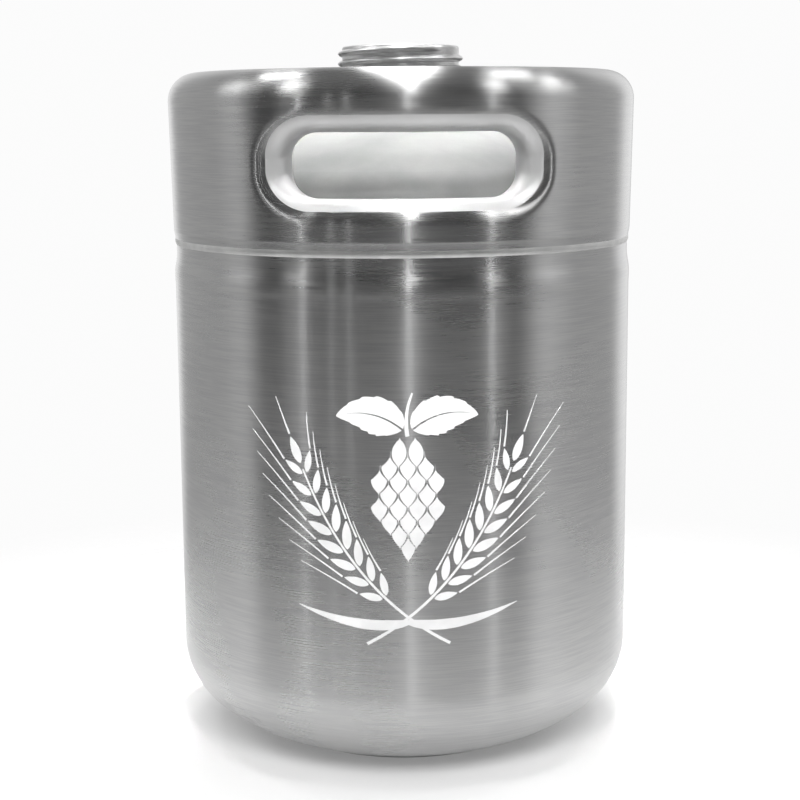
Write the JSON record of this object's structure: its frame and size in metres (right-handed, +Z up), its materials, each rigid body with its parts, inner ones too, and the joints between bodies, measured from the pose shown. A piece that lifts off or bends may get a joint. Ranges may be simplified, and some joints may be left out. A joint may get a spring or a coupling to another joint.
{
  "type": "mini keg growler",
  "caption": "Double-walled stainless mini keg growler: straight drum with a rounded base, a threaded open neck and a welded handle collar with two lipped hand slots.",
  "frame": {"origin": "on the body's axis, at the bottom of the foot ring that the keg stands on", "axes": "+Z up along the axis towards the mouth, -Y towards the front hand slot"},
  "size_m": [0.167, 0.167, 0.2502],
  "materials": {
    "shell_steel": "fine brushing round the body",
    "collar_steel": "fine brushing round the wall, satin on the lips",
    "dome_steel": "matte, pickled",
    "neck_steel": "polished",
    "weld_steel": "matte weld bead",
    "liner_steel": "electropolished",
    "disc_steel": "satin",
    "foil": "bright foil",
    "solder": "dull",
    "getter_alloy": "sintered",
    "print_white": "screen-printed white ornament on the body"
  },
  "bodies": {
    "root": {"outer_shell": "shell_steel", "base_disc": "disc_steel", "solder_plug": "solder", "seam_weld": "weld_steel", "handle_collar": "collar_steel", "outer_dome": "dome_steel", "neck_ring": "neck_steel", "neck_weld": "weld_steel", "mouth_weld": "weld_steel", "liner_dome": "liner_steel", "liner_weld": "weld_steel", "liner_can": "liner_steel", "liner_foil": "foil", "getter_clip": "disc_steel", "getter_pill": "getter_alloy"}
  },
  "joints": []
}
